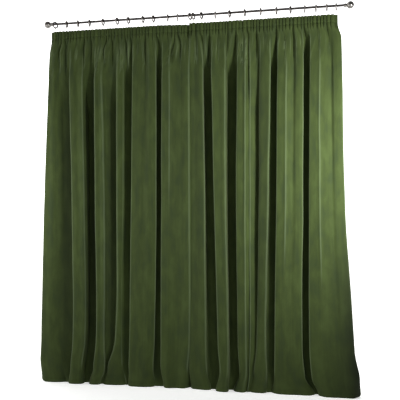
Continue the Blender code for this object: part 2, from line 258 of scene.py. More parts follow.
def platedSteel(name):
    # Steel with a bright plate: a clear reflection, a little softer and paler in the wiped marks
    dark, light, slant, (smoothest, roughest) = plateLooks[name]
    made, tree, shader = newMaterial(name)
    place = addNode(tree, "ShaderNodeTexCoord").outputs["Object"]
    wiped = addNode(tree, "ShaderNodeMapping", {}, {
        "Vector": place, "Scale": [1 / size for size in wipedMarks]})
    marks = addNode(tree, "ShaderNodeTexNoise", {}, {
        "Vector": wiped.outputs["Vector"], "Scale": 1.0, "Detail": 3.0})
    rough = addNode(tree, "ShaderNodeMapRange", {}, {
        "Value": marks.outputs["Fac"], "To Min": smoothest, "To Max": roughest})
    tree.links.new(rough.outputs["Result"], shader.inputs["Roughness"])
    tint = addNode(tree, "ShaderNodeMix", {"data_type": "RGBA"}, {
        0: marks.outputs["Fac"], 6: hexColour(dark), 7: hexColour(light)})
    tree.links.new(tint.outputs[2], shader.inputs["Base Color"])
    shader.inputs["Metallic"].default_value = 1.0
    shader.inputs["Specular Tint"].default_value = hexColour(slant)
    return made


nylonLook = {
    "shade": "#DEDDD6", "light": "#F2F1EC", "clouds": 0.0045,
    "roughness": 0.38, "specular": 0.5, "ior": 1.53,
}


def mouldedNylon():
    # White nylon, injection moulded: soft gloss, very slightly cloudy
    look = nylonLook
    made, tree, shader = newMaterial("mouldedWhiteNylon")
    place = addNode(tree, "ShaderNodeTexCoord").outputs["Object"]
    cloud = addNode(tree, "ShaderNodeTexNoise", {}, {
        "Vector": place, "Scale": 1 / look["clouds"], "Detail": 2.0})
    setSurface(tree, shader, cloud.outputs["Fac"], look)
    shader.inputs["IOR"].default_value = look["ior"]
    return made


tapeLook = {
    "shade": "#C9C8BF",
    "light": "#EDECE4",
    "warp": 0.0035,  # real ribs are 1 mm apart, drawn coarser to show
    "weft": 0.00285,
    "uneven": 0.4,
    "roughness": 0.85,
    "specular": 0.5,
    "bumpStrength": 0.5,
    "bumpDepth": 0.0005,
}


def wovenTape():
    # Woven polyester heading tape: matt white, with close ribs that catch the light
    look = tapeLook
    made, tree, shader = newMaterial("wovenHeadingTape")
    uv = addNode(tree, "ShaderNodeTexCoord").outputs["UV"]
    threads = weave(tree, uv, look)
    setSurface(tree, shader, threads, look, threads)
    return made


# One row for each forward fold, left to right, in mm. upper, middle, low, foot and hem are its left
# and right front edges at foldLevels. front is how far it stands before the pole's plane and back
# the floor of the valley on its right, both in the upper part and at the hem. lobe is that valley's
# width, lean how far its floor sits aside, opens the height at which it opens out below the tape
# and boxed how much of it is a square box pleat, the rest being a slope that runs under the next
# fold. dent is a shallow trough's place across the fold with its depth at the top and at the hem,
# crease a sharp ridge's place, height and where it has faded out, and relief how far back the front
# lies at reliefPlaces.
Fold = namedtuple(
    "Fold", "name upper middle low foot hem front back lobe lean opens boxed dent crease relief")
# A small gather under the heading: its crevice's X at gatherLevels in mm, and how deep it is
Gather = namedtuple("Gather", "high low strength")
# Where a fold meets the floor: X and height of the bulge in mm, its half width and half height,
# and how far it swells forward
Break = namedtuple("Break", "x z wide tall swell")
# Painted shade, a darker colour where valleys and a lower corner fall into shade: X and height of
# the middle in mm, half width and half height, and how much of the painted shade it takes
PaintedShadeMark = namedtuple("PaintedShadeMark", "x z wide tall share")
# Soft waves in the cloth: which way they move it, how far, and their width and height in metres
Wave = namedtuple("Wave", "axis size wide tall")

noCrease = (0.5, 0, 900)
cloth = {
    "poleY": 0.0032,
    "headingTop": 2.277,
    "headingY": -0.017,
    "cutWidth": 1.68,
    "thickness": 0.0022,
    "sideHem": 0.036,
    "hemColumns": 8,
    "leadWidth": 0.060,  # of the heading that comes forward at the join
    "sagFrom": 0.22,  # from the outer end, where the heading starts to sag
    "sagOver": 0.18,
    "sagFades": (1.80, 0.35),  # foot and height of the part that goes down with it
    # Rows of the sheet, from each height down to the next
    "rowBands": ((2.277, 8), (2.219, 28), (1.93, 43), (0.22, 13), (0.045, 9)),
    # Pencil pleats, down to tapeFoot
    "tapeFoot": 2.219,
    "pleats": 42,
    "pleatColumns": 10,
    "pleatDepth": 0.0180,
    "pleatRoundness": 0.42,
    "pleatSpread": 0.32,  # how unequal in width
    "weakestPleat": 0.60,
    "pleatFade": 0.036,  # drop below the tape in which they let go
    # Gathers below the tape; shares are of the cut width
    "gatherLevels": (2.16, 2.04),
    "gatherDepth": 0.026,
    "gatherRoundness": 0.62,
    "gatherMean": 0.34,
    "gatherRises": (0.010, 0.040),  # start above the tape's foot and the drop it takes
    "gatherGone": (2.135, 0.15),
    "gatherWander": 0.012,
    "wanderNoise": (30, 3.1),  # cells across, and the row that is read
    "gatherPull": 0.25,
    "outerCrevices": (-0.012, 1.018),
    "creviceGap": 0.006,  # 10 mm of cloth at least
    # Folds
    "sunkBack": (2.219, 1.93),  # heights between which the folds form
    "edgeFree": 2.130,
    "foldLevels": (1.95, 1.16, 0.27, 0.10, 0.0),
    "easedSlope": 0.3,
    "frontPlaces": (0, 0.14, 0.30, 0.50, 0.70, 0.86, 1),
    "reliefPlaces": (0, 0.25, 0.5, 0.75, 1),
    "upperPace": 1.3,  # how soon above the hem a fold has its upper depth
    "dentWidth": 15,
    "creaseWidth": 9,
    "creaseFade": 0.5,
    "openingSpan": 0.30,
    "shelfPlaces": (0.12, 0.94),  # corners of a valley that has not opened yet
    "shelfDepths": (0.20, 0.55),
    "sway": 0.0015,
    "swayTall": 0.34,
    "swayApart": 7.3,  # noise cells between one edge and the next
    "softness": 0.0052,
    "pathStep": 0.002,
    "valleyScales": (0.5, 1.2),
    "halvings": 12,
    # Hem
    "hemSoftness": 0.0130,
    "hemRounds": 0.150,
    "hemValleyScale": 0.85,
    "hemCurve": 0.032,
    "hemCurveShare": 0.6,  # of its valley's depth at most
    "cornerCurl": 0.017,
    "cornerReach": 0.060,
    "breaksBefore": -0.02,  # only the folds in front of this Y swell at the floor
    # Surface
    "waves": (Wave("y", 0.0030, 0.11, 0.42), Wave("y", 0.0011, 0.034, 0.15),
              Wave("x", 0.0012, 0.060, 0.20)),
    "waveFade": 0.12,
    # Height and depth of the stitching along the tape's top, along its foot and along the hem
    "stitchRows": ((2.2660, 0.0014), (2.2300, 0.0032), (0.0300, 0.0014)),
    "stitchWidth": 0.0030,
    "ruffle": 0.0012,
    "ruffleNoise": (0.022, 0.4),
    "ruffleFades": (2.262, 0.015),
}
leftPanel = {
    "side": "left",
    "seed": 11,
    "ends": (-0.9415, -0.006),
    "lead": 0.0,
    "startReturn": (0.008, 0.030),
    "endReturn": (0.014, 0.022),
    "sag": 0.006,
    "folds": (
        Fold("edge", (-957, -890), (-980, -868), (-989, -868), (-994, -838), (-996, -814),
             (-36, -36), (4, -6), 50, 6, 1950, 0.50, (0.30, 4, 2), noCrease, (8, 0, 0, 4, 14)),
        Fold("second", (-802, -713), (-778, -691), (-764, -681), (-779, -700), (-799, -688),
             (-56, -52), (38, 14), 78, 5, 1860, 0.90, (0.60, 8, 3), noCrease, (3, 0, 2, 2, 5)),
        Fold("third", (-635, -584), (-624, -559), (-613, -554), (-630, -548), (-666, -581),
             (-46, -46), (6, -6), 52, -6, 1900, 0.45, (0.55, 6, 3), noCrease, (2, 1, 5, 2, 4)),
        Fold("fourth", (-487, -443), (-482, -440), (-487, -446), (-537, -440), (-571, -416),
             (-38, -40), (28, 4), 64, 4, 2020, 0.40, (0.50, 2, 2), noCrease, (4, 2, 4, 9, 16)),
        Fold("wide", (-381, -223), (-385, -221), (-392, -229), (-397, -236), (-409, -222),
             (-44, -44), (40, 12), 86, -5, 2050, 0.70, (0.52, 18, 2), noCrease, (3, 1, 0, 4, 18)),
        Fold("last", (-187, -10), (-187, -8), (-190, -8), (-192, -20), (-181, -16),
             (-50, -42), (0, 0), 0, 0, 2000, 1.00,
             (0.68, 10, 1), (0.30, 7, 900), (5, 0, 16, 13, 7)),
    ),
    "gathers": (
        Gather(-882, -880, 1.0), Gather(-842, -836, 0.9), Gather(-775, -778, 0.4),
        Gather(-717, -710, 1.0), Gather(-663, -662, 0.9), Gather(-620, -625, 0.3),
        Gather(-573, -567, 0.9), Gather(-519, -519, 1.0), Gather(-474, -465, 0.4),
        Gather(-426, -421, 0.9), Gather(-391, -397, 0.7), Gather(-344, -362, 0.3),
        Gather(-303, -297, 0.9), Gather(-252, -250, 0.3), Gather(-214, -212, 1.0),
        Gather(-147, -147, 0.3), Gather(-115, -121, 0.7), Gather(-70, -76, 0.8),
        Gather(-36, -36, 0.3),
    ),
    "breaks": (
        Break(-735, 55, 45, 60, 9), Break(-610, 50, 40, 55, 10), Break(-320, 40, 80, 50, 4),
    ),
    # Painted shade, mostly in the valleys between folds
    "brushed": (
        PaintedShadeMark(-823, 1000, 40, 950, 0.50), PaintedShadeMark(-657, 1000, 32, 950, 0.46),
        PaintedShadeMark(-523, 1000, 36, 950, 0.38), PaintedShadeMark(-310, 1350, 80, 850, 0.16),
        PaintedShadeMark(-100, 1350, 75, 850, 0.20),
    ),
}
rightPanel = {
    "side": "right",
    "seed": 23,
    "ends": (-0.012, 0.902),
    "lead": 0.015,
    "startReturn": (0.003, 0.012),
    "endReturn": (-0.006, 0.022),
    "sag": 0.0,
    "folds": (
        Fold("leading", (-14, 78), (-14, 92), (-12, 97), (-13, 104), (-8, 133),
             (-42, -42), (30, 2), 68, -4, 1950, 0.85, (0.42, 6, 3), noCrease, (12, 8, 5, 2, 2)),
        Fold("second", (131, 221), (150, 223), (171, 238), (184, 238), (151, 243),
             (-62, -58), (34, 8), 74, 5, 1990, 0.90, (0.55, 6, 3), noCrease, (8, 6, 3, 0, 2)),
        Fold("third", (291, 362), (283, 360), (292, 362), (300, 361), (257, 354),
             (-54, -50), (6, -18), 50, -5, 1820, 0.25,
             (0.50, 4, 2), (0.74, 6, 200), (12, 8, 4, 2, 32)),
        Fold("fourth", (431, 498), (426, 483), (406, 464), (385, 470), (358, 465),
             (-50, -46), (30, 2), 72, 6, 2080, 0.60, (0.50, 4, 3), noCrease, (15, 7, 3, 1, 0)),
        Fold("wide", (538, 699), (528, 690), (512, 682), (509, 696), (491, 756),
             (-50, -46), (34, 8), 90, -6, 2150, 0.80,
             (0.62, 20, 4), (0.35, 7, 500), (10, 2, 6, 2, 12)),
        Fold("edge", (733, 926), (721, 934), (719, 981), (731, 1010), (763, 1018),
             (-50, -54), (10, 10), 0, 0, 2000, 1.00,
             (0.66, 22, 4), (0.31, 7, 400), (10, 0, 5, 0, 12)),
    ),
    "gathers": (
        Gather(33, 40, 0.35), Gather(70, 82, 0.7), Gather(112, 109, 1.0), Gather(167, 176, 0.35),
        Gather(229, 227, 0.7), Gather(277, 273, 1.0), Gather(335, 329, 0.25),
        Gather(362, 360, 0.6), Gather(409, 409, 1.0), Gather(459, 462, 0.3), Gather(532, 525, 1.0),
        Gather(582, 582, 0.25), Gather(635, 636, 0.9), Gather(680, 678, 0.25),
        Gather(707, 711, 1.0), Gather(778, 778, 0.3), Gather(843, 848, 0.7),
    ),
    "breaks": (
        Break(222, 50, 42, 60, 10), Break(330, 50, 36, 55, 9), Break(600, 40, 80, 50, 4),
        Break(880, 40, 110, 60, 5),
    ),
    # Painted shade in valleys and at the lower right corner
    "brushed": (
        PaintedShadeMark(40, 1250, 52, 900, 0.26), PaintedShadeMark(190, 1250, 45, 900, 0.12),
        PaintedShadeMark(450, 1250, 40, 900, 0.28), PaintedShadeMark(1050, 300, 130, 620, 1.0),
    ),
}


def rowHeights():
    # Close rows where the pleats let go, beside the tape's stitching and at the hem
    bands = cloth["rowBands"]
    ends = [top for top, rows in bands[1:]] + [0.0]
    parts = [np.linspace(top, end, rows + 1)[:-1] for (top, rows), end in zip(bands, ends)]
    wide = cloth["stitchWidth"]
    stitched = [row[0] + away for row in cloth["stitchRows"][:2] for away in (wide, 0.0, -wide)]
    return np.sort(np.concatenate([*parts, [0.0], stitched]))[::-1]


def atLevel(values, z):
    # A smooth curve through one value for each of foldLevels, read at height z
    levels = cloth["foldLevels"][::-1]
    values = values[::-1]
    z = min(max(z, levels[0]), levels[-1])
    slopes = np.gradient(values, levels)
    slopes[0] = 0.0
    slopes[1:3] *= cloth["easedSlope"]
    k = min(int(np.searchsorted(levels, z, side="right")) - 1, len(levels) - 2)
    span = levels[k + 1] - levels[k]
    t = (z - levels[k]) / span
    rise = (3 - 2 * t) * t * t
    bend = slopes[k] * t * (1 - t) ** 2 - slopes[k + 1] * t * t * (1 - t)
    return values[k] * (1 - rise) + values[k + 1] * rise + span * bend


def foldEdges(panel, z):
    # Left and right front edge of every fold at height z, with a slight sway down the drop
    edges = []
    for number, fold in enumerate(panel["folds"]):
        pair = []
        for end in (0, 1):
            cell = cloth["swayApart"] * (2 * number + end)
            sway = cloth["sway"] * softNoise(z / cloth["swayTall"], cell, panel["seed"])
            pair.append(atLevel([level[end] for level in fold[1:6]], z) * mm + sway)
        edges.append(pair)
    return edges


def frontLies(fold, z, formed):
    # Shares across a fold's front and how far back it lies there: relief, dent and crease
    height = z / cloth["foldLevels"][0]
    span = fold.middle[1] - fold.middle[0]
    place, dentTop, dentHem = fold.dent
    dent = (dentHem + (dentTop - dentHem) * height**2) * mm
    beside = cloth["dentWidth"] / span
    ridge, rise, fades = fold.crease
    rise *= mm * formed * smoothStep((z - fades * mm) / cloth["creaseFade"])
    narrow = cloth["creaseWidth"] / span
    stations = (place - beside, place, place + beside, ridge - narrow, ridge, ridge + narrow)
    found = []
    for share in sorted((*cloth["frontPlaces"], *stations)):
        lies = np.interp(share, cloth["reliefPlaces"], fold.relief) * mm
        lies += dent * math.exp(-(((share - place) / beside) ** 2))
        lies -= rise * max(0, 1 - abs(share - ridge) / narrow)
        found.append((share, lies))
    return found


def valleyCorners(fold, z, right, nextLeft, formed):
    # Near the tape a valley is only a shelf that slopes back from the fold and under the next.
    # X of its two corners, and how much of its depth each has
    opening = nextLeft - right
    middle = (right + nextLeft) / 2 + fold.lean * mm * formed
    half = fold.lobe * mm / 2
    halfSpan = cloth["openingSpan"] / 2
    opened = 1 - gatheredShare(z, fold.opens * mm + halfSpan, fold.opens * mm - halfSpan)
    boxed = fold.boxed * opened
    shelf, under = [right + place * opening for place in cloth["shelfPlaces"]]
    shallow, deep = cloth["shelfDepths"]
    return ((shelf + (middle - half - shelf) * boxed, shallow + (1 - shallow) * boxed),
            (under + (middle + half - under) * boxed, deep + (1 - deep) * opened))


def foldCorners(panel, z, depth):
    # Corners of the cross-section at height z; depth scales how far back the valleys reach
    formed = 1 - gatheredShare(z, *cloth["sunkBack"])
    rounded = smoothStep(1 - z / cloth["hemRounds"])
    folds = panel["folds"]
    edges = foldEdges(panel, z)
    upper = smoothStep(cloth["upperPace"] * z / cloth["foldLevels"][0])
    curve = cloth["hemCurve"]
    leftCurve = curve
    corners = []
    for number, fold in enumerate(folds):
        left, right = edges[number]
        width = right - left
        front, back = [(hem + (top - hem) * upper) * mm for top, hem in (fold.front, fold.back)]
        sunk = (back - front) * depth
        last = number + 1 == len(folds)
        rightCurve = curve if last else min(curve, cloth["hemCurveShare"] * sunk)
        for share, lies in frontLies(fold, z, formed):
            inside = min(min(share, 1 - share) * width / curve, 1)
            turned = leftCurve if share < 0.5 else rightCurve
            lies += rounded * turned * (1 - math.sqrt(1 - (1 - inside) ** 2))
            corners.append((left + share * width, front + lies))
        if not last:
            leftCurve = rightCurve
            floor = valleyCorners(fold, z, right, edges[number + 1][0], formed)
            corners += [(x, front + sunk * share) for x, share in floor]
    startX, startY = panel["startReturn"]
    endX, endY = panel["endReturn"]
    start = (corners[0][0] + startX, corners[0][1] + startY)
    end = (corners[-1][0] + endX, corners[-1][1] + endY)
    section = np.array([start, *corners, end])
    # Straight at the tape, at full depth where the folds have formed
    flat = headingLine(panel, section[:, 0])[:, 1]
    section[:, 1] = flat + (section[:, 1] - flat) * formed
    return section


def runningLength(line):
    return np.append(0.0, np.cumsum(np.linalg.norm(np.diff(line, axis=0), axis=1)))


def columnSpots(panel, u):
    # Each column's place along the corners, at the tape and in the folds; whole numbers are corners
    top = foldCorners(panel, cloth["tapeFoot"], 1.0)
    shares = (top[:, 0] - top[0, 0]) / (top[-1, 0] - top[0, 0])
    even = np.interp(u, shares, np.arange(len(top)))
    corners = foldCorners(panel, cloth["foldLevels"][1], 1.0)
    reach = runningLength(corners)
    return even, np.interp(u * reach[-1], reach, np.arange(len(reach)))


def softPath(corners, spots, softness):
    # The cross-section with its corners rounded, read at each column's spot
    step = cloth["pathStep"]
    reach = runningLength(corners)
    steps = np.linspace(0, reach[-1], int(reach[-1] / step) + 1)
    line = np.column_stack([np.interp(steps, reach, corners[:, axis]) for axis in (0, 1)])
    radius = int(3 * softness / step)  # the bell is cut off at three times its width
    weights = np.exp(-0.5 * (np.arange(-radius, radius + 1) * step / softness) ** 2)
    weights /= weights.sum()
    before = 2 * line[0] - line[radius:0:-1]
    after = 2 * line[-1] - line[-2:-radius - 2:-1]
    padded = np.vstack([before, line, after])
    soft = np.column_stack([np.convolve(padded[:, axis], weights, "valid") for axis in (0, 1)])
    places = np.interp(spots, np.arange(len(reach)), reach)
    return np.column_stack([np.interp(places, steps, soft[:, axis]) for axis in (0, 1)])


def headingForward(panel, x):
    # The right heading starts in front of the left one's end
    return panel["lead"] * (1 - smoothStep((x - panel["ends"][0]) / cloth["leadWidth"]))


def headingLine(panel, x):
    return np.column_stack([x, cloth["headingY"] - headingForward(panel, x)])


def headingPlaces(panel, u):
    start, end = panel["ends"]
    return headingLine(panel, start + (end - start) * u)


def headingSag(panel, x):
    # The last hooks let the end of the heading down a little
    start = panel["ends"][1] - cloth["sagFrom"]
    return panel["sag"] * smoothStep((x - start) / cloth["sagOver"])


def gatheredShare(z, start, end):
    # 1 at the tape and 0 once the folds have formed
    return float(smoothStep((z - end) / (start - end)))


def crestProfile(u, bounds, strengths, roundness):
    # 0 on each crest and its strength in each crevice, between neighbouring bounds
    k = np.clip(np.searchsorted(bounds, u, side="right") - 1, 0, len(bounds) - 2)
    t = (u - bounds[k]) / (bounds[k + 1] - bounds[k])
    strength = np.where(t < 0.5, strengths[k], strengths[k + 1])
    return strength * (1 - np.sin(math.pi * np.clip(t, 0, 1)) ** roundness)


def pleatBounds(panel):
    # Crevices of the pencil pleats, unevenly spaced as the cords draw them up
    draw = np.random.RandomState(panel["seed"])
    spread = cloth["pleatSpread"]
    widths = 1 + draw.uniform(-spread, spread, cloth["pleats"])
    hem = cloth["sideHem"] / cloth["cutWidth"]
    bounds = hem + np.append(0, np.cumsum(widths)) / widths.sum() * (1 - 2 * hem)
    strengths = draw.uniform(cloth["weakestPleat"], 1.0, len(bounds))
    return bounds, strengths


def pleatWaves(u, pleats):
    # Forward and back by half a pleat
    return cloth["pleatDepth"] * (crestProfile(u, *pleats, cloth["pleatRoundness"]) - 0.5)


def columnPlaces(bounds):
    # Shares of the cut width, as many columns in every pleat so that no crevice is cut off
    columns = np.arange(cloth["pleats"] * cloth["pleatColumns"] + 1) / cloth["pleatColumns"]
    inner = np.interp(columns, np.arange(len(bounds)), bounds)
    hem = np.linspace(0, bounds[0], cloth["hemColumns"] + 1)[:-1]
    return np.concatenate([hem, inner, 1 - hem[::-1]])


def nearestU(line, u, x):
    # The column whose x is nearest, close to where the heading would put it
    start, end = line[0, 0], line[-1, 0]
    guess = (x - start) / (end - start)
    return u[np.argmin(np.abs(line[:, 0] - x) + cloth["gatherPull"] * np.abs(u - guess))]


def gatherBounds(panel, spots, u, pleats):
    # Crevices of the gathers at three heights: on a pleat's crevice at the tape, then as tabled
    found = []
    for level, name in zip(cloth["gatherLevels"], ("high", "low")):
        line = plainRow(panel, spots, u, level, 1.0)
        found.append([nearestU(line, u, getattr(g, name) * mm) for g in panel["gathers"]])
    top = [pleats[np.argmin(np.abs(pleats - value))] for value in found[0]]
    return np.array([top, *found])


def plainRow(panel, spots, u, z, depth):
    # The section hardly moves sideways; the cloth slides round its bends as they deepen
    gathered = gatheredShare(z, *cloth["sunkBack"])
    places = spots[0] * gathered + spots[1] * (1 - gathered)
    # The folds round off where they stand on the floor
    rounded = smoothStep(1 - z / cloth["hemRounds"])
    softness = cloth["softness"] * (1 - rounded) + cloth["hemSoftness"] * rounded
    folded = softPath(foldCorners(panel, z, depth), places, softness)
    # The ends of the tape hold the side edges in a little
    held = smoothStep((z - cloth["edgeFree"]) / (cloth["tapeFoot"] - cloth["edgeFree"]))
    return headingPlaces(panel, u) * held + folded * (1 - held)


def gatherWaves(panel, u, z, gathers, wander):
    # They rise as the pencil pleats let go and are gone where the folds have formed
    drop = cloth["tapeFoot"] - z
    early, over = cloth["gatherRises"]
    risen = smoothStep((drop + early + wander) / over)
    foot, fade = cloth["gatherGone"]
    gone = smoothStep((foot + 2 * wander - z) / fade)
    tops = np.array([1.0, *[g.strength for g in panel["gathers"]], 1.0])
    high, low = cloth["gatherLevels"]
    share = np.interp(z, (low, high, cloth["tapeFoot"]), (2, 1, 0))
    above, below = int(math.floor(share)), int(math.ceil(share))
    crevices = gathers[above] * (1 - share + above) + gathers[below] * (share - above)
    first, last = cloth["outerCrevices"]
    apart = cloth["creviceGap"] * np.arange(len(tops))
    crevices = np.maximum.accumulate(np.array([first, *crevices, last]) - apart) + apart
    waves = crestProfile(u, crevices, tops, cloth["gatherRoundness"]) - cloth["gatherMean"]
    return cloth["gatherDepth"] * risen * (1 - gone) * waves


def clothRow(panel, spots, u, z, pleats, gathers):
    cells, row = cloth["wanderNoise"]
    wander = cloth["gatherWander"] * softNoise(u * cells, row, panel["seed"] + 1)
    pleated = smoothStep(1 - (cloth["tapeFoot"] - z + wander) / cloth["pleatFade"])
    y = pleatWaves(u, pleats) * pleated + gatherWaves(panel, u, z, gathers, wander)
    shallow, deep = cloth["valleyScales"]
    deep -= (deep - cloth["hemValleyScale"]) * smoothStep(1 - z / cloth["hemRounds"])
    # The valleys take up whatever the cut width leaves
    for _ in range(cloth["halvings"]):
        depth = (shallow + deep) / 2
        line = plainRow(panel, spots, u, z, depth)
        line[:, 1] += y
        tooShort = runningLength(line)[-1] < cloth["cutWidth"]
        shallow, deep = (depth, deep) if tooShort else (shallow, depth)
    return line


def bumpAt(points, mark, power):
    # 1 in the middle of a mark, fading out over its half width and half height
    across = (points[0] - mark.x * mm) / (mark.wide * mm)
    down = (points[1] - mark.z * mm) / (mark.tall * mm)
    return np.exp(-(across**2) - down**power)


def panelPoints(panel):
    pleats = pleatBounds(panel)
    u = columnPlaces(pleats[0])
    spots = columnSpots(panel, u)
    gathers = gatherBounds(panel, spots, u, pleats[0])
    heights = rowHeights()
    lines = np.array([clothRow(panel, spots, u, z, pleats, gathers) for z in heights])
    x, y = lines[:, :, 0], lines[:, :, 1]
    z = np.repeat(heights[:, None], len(u), axis=1)
    across = u * cloth["cutWidth"]
    # Long soft waves and small handling creases down the drop
    below = smoothStep((cloth["tapeFoot"] - z) / cloth["waveFade"])
    moved = {"x": x, "y": y}
    for number, wave in enumerate(cloth["waves"], start=2):
        noise = softNoise(across / wave.wide, z / wave.tall, panel["seed"] + number)
        moved[wave.axis] += below * wave.size * noise
    # The tape's two outer stitch rows pinch the velvet, and the one along the hem does so less
    for row, pinch in cloth["stitchRows"]:
        y += pinch * np.exp(-(((z - row) / cloth["stitchWidth"]) ** 2))
    # The side hem curls in at the lower corner
    outer = x[:, -1:] if panel["side"] == "right" else x[:, :1]
    curl = 1 - np.sqrt(1 - np.clip(1 - z / cloth["cornerCurl"], 0, 1) ** 2)
    curl *= smoothStep(1 - np.abs(x - outer) / cloth["cornerReach"])
    x -= np.sign(outer[0, 0]) * cloth["cornerCurl"] * curl
    for bulge in panel["breaks"]:
        y -= bulge.swell * mm * bumpAt((x, z), bulge, 2) * (y < cloth["breaksBefore"])
    foot, over = cloth["sagFades"]
    z = z - headingSag(panel, x) * smoothStep((z - foot) / over)
    # A slight ruffle along the top edge
    foot, over = cloth["ruffleFades"]
    wide, row = cloth["ruffleNoise"]
    ruffle = cloth["ruffle"] * softNoise(across / wide, row, panel["seed"] + 5)
    z = z + ruffle * smoothStep((z - foot) / over)
    return np.dstack([x, y + cloth["poleY"], z]), across, heights


def paintedEdgeSheenMask(points):
    # 1 where the cloth bends hard towards the room: a painted highlight along the fold edges,
    # standing in for their sheen
    along = np.diff(points[:, :, :2], axis=1)
    heading = np.unwrap(np.arctan2(along[:, :, 1], along[:, :, 0]), axis=1)
    lengths = np.linalg.norm(along, axis=2)
    bend = np.zeros(points.shape[:2])
    bend[:, 1:-1] = np.diff(heading, axis=1) / ((lengths[:, 1:] + lengths[:, :-1]) / 2)
    below = smoothStep((cloth["tapeFoot"] - points[:, :, 2]) / velvetLook["paintedSheenFade"])
    return below * smoothStep((bend - velvetLook["paintedSheenFrom"]) / velvetLook["paintedSheenOver"])


def paintedShadeMask(panel, points):
    # How much painted shade each point takes
    shadePainted = np.zeros(points.shape[:2])
    for mark in panel["brushed"]:
        shadePainted += mark.share * bumpAt((points[:, :, 0], points[:, :, 2]), mark, 4)
    return np.clip(shadePainted, 0, 1)


def gridPiece(name, points, across, heights, marks):
    # A quad sheet with the given places, UVs in metres of cloth and a value for each mark
    rows, columns = points.shape[:2]
    bm = bmesh.new()
    uv = bm.loops.layers.uv.new("cloth")
    layers = {mark: bm.verts.layers.float.new(mark) for mark in marks}
    bmesh.ops.create_grid(
        bm, x_segments=columns - 1, y_segments=rows - 1, size=0.5, calc_uvs=False)
    for vert in bm.verts:
        column = round((vert.co.x + 0.5) * (columns - 1))
        row = round((0.5 - vert.co.y) * (rows - 1))
        vert.co = points[row, column]
        vert.index = row * columns + column
        for mark, values in marks.items():
            vert[layers[mark]] = values[row, column]
    for face in bm.faces:
        for loop in face.loops:
            row, column = divmod(loop.vert.index, columns)
            loop[uv].uv = (across[column], heights[row])
    return meshFrom(bm, name)


def thicken(piece, thickness):
    solid = piece.modifiers.new("thickness", "SOLIDIFY")
    solid.thickness = thickness
    solid.offset = 0.0
    return solid


def velvetPanel(panel, face, back):
    points, across, heights = panelPoints(panel)
    name = "velvet_" + panel["side"]
    # splay-type mark: painted highlight along the fold edges
    # the other mark: painted shade in valleys and at a lower corner
    marks = {"paintedEdgeSheen": paintedEdgeSheenMask(points), "brushed": paintedShadeMask(panel, points)}
    piece = newObject(name, gridPiece(name, points, across, heights, marks), face, back)
    solid = thicken(piece, cloth["thickness"])
    solid.use_quality_normals = True
    solid.material_offset = 1
    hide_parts("curtain_" + panel["side"])
    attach(piece, "root")


tapeSizes = {
    "top": 2.273,
    "foot": 2.222,
    "rows": 15,
    "thickness": 0.0009,
    "behind": 0.0011,  # its middle from the velvet's back
    "cordRows": (2.266, 2.248, 2.229),  # heights of the draw cords under its weave
    "cordWidth": 0.0022,
    "cordSwell": 0.0008,
}


def headingTape(panel, material):
    # The tape follows the back of every pleat and stops at the side hems
    size = tapeSizes
    pleats = pleatBounds(panel)
    u = columnPlaces(pleats[0])[cloth["hemColumns"]:-cloth["hemColumns"]]
    line = headingPlaces(panel, u)
    line[:, 1] += pleatWaves(u, pleats)
    along = np.gradient(line, axis=0)
    normal = np.column_stack([-along[:, 1], along[:, 0]]) / np.linalg.norm(along, axis=1)[:, None]
    heights = np.linspace(size["top"], size["foot"], size["rows"])
    cords = sum(np.exp(-(((heights - row) / size["cordWidth"]) ** 2)) for row in size["cordRows"])
    points = np.zeros((len(heights), len(u), 3))
    for n, z in enumerate(heights):
        off = cloth["thickness"] / 2 + size["behind"] + size["cordSwell"] * cords[n]
        points[n, :, 0] = line[:, 0] + normal[:, 0] * off
        points[n, :, 1] = line[:, 1] + normal[:, 1] * off + cloth["poleY"]
        points[n, :, 2] = z - headingSag(panel, line[:, 0])
    name = "tape_" + panel["side"]
    mesh = gridPiece(name, points, u * cloth["cutWidth"], heights, {})
    piece = newObject(name, mesh, material)
    thicken(piece, size["thickness"])
    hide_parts("heading_tape_" + panel["side"])
    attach(piece, "root")


poleSizes = {
    "y": 0.0032,
    "z": 2.335,
    "radius": 0.0075,
    "half": 0.9487,  # to the inside of each finial's socket
    "endBevel": 0.0008,
    "segments": 48,
    "sharpAngle": 35,
}


def spun(profile):
    # Turns (radius, along) pairs about the X axis, from one closed end to the other
    bm = bmesh.new()
    verts = [bm.verts.new((along, 0, radius)) for radius, along in profile]
    for a, b in zip(verts, verts[1:]):
        bm.edges.new((a, b))
    bmesh.ops.spin(bm, geom=bm.verts[:] + bm.edges[:], cent=(0, 0, 0), axis=(1, 0, 0),
                   angle=2 * math.pi, steps=poleSizes["segments"], use_merge=True)
    bmesh.ops.remove_doubles(bm, verts=bm.verts[:], dist=1e-6)
    bmesh.ops.recalc_face_normals(bm, faces=bm.faces[:])
    return bm


def poleTube(material):
    size = poleSizes
    half, radius, bevel = size["half"], size["radius"], size["endBevel"]
    bm = spun([(0, -half), (radius - bevel, -half), (radius, -half + bevel),
               (radius, half - bevel), (radius - bevel, half), (0, half)])
    bmesh.ops.translate(bm, verts=bm.verts[:], vec=(0, size["y"], size["z"]))
    piece = newObject("pole_tube", meshFrom(bm, "pole_tube"), material)
    piece.data.set_sharp_from_angle(angle=math.radians(size["sharpAngle"]))
    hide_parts("pole")
    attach(piece, "root")


# The collar's neck, shoulder and mouth are measured from the ball's centre
finialSizes = {
    "ballX": 0.9765,
    "ballRadius": 0.0225,
    "ballArc": 150,  # degrees of the ball that stand clear of the neck
    "ballRows": 26,
    "neckRadius": 0.0088,
    "neck": (-0.0210, -0.0228),
    "shoulder": (-0.0236, -0.0244),
    "mouth": -0.0375,
    "collarRadius": 0.0110,
    "collarBevel": 0.0006,
    "bore": 0.0078,
    "boreDepth": 0.0100,
}


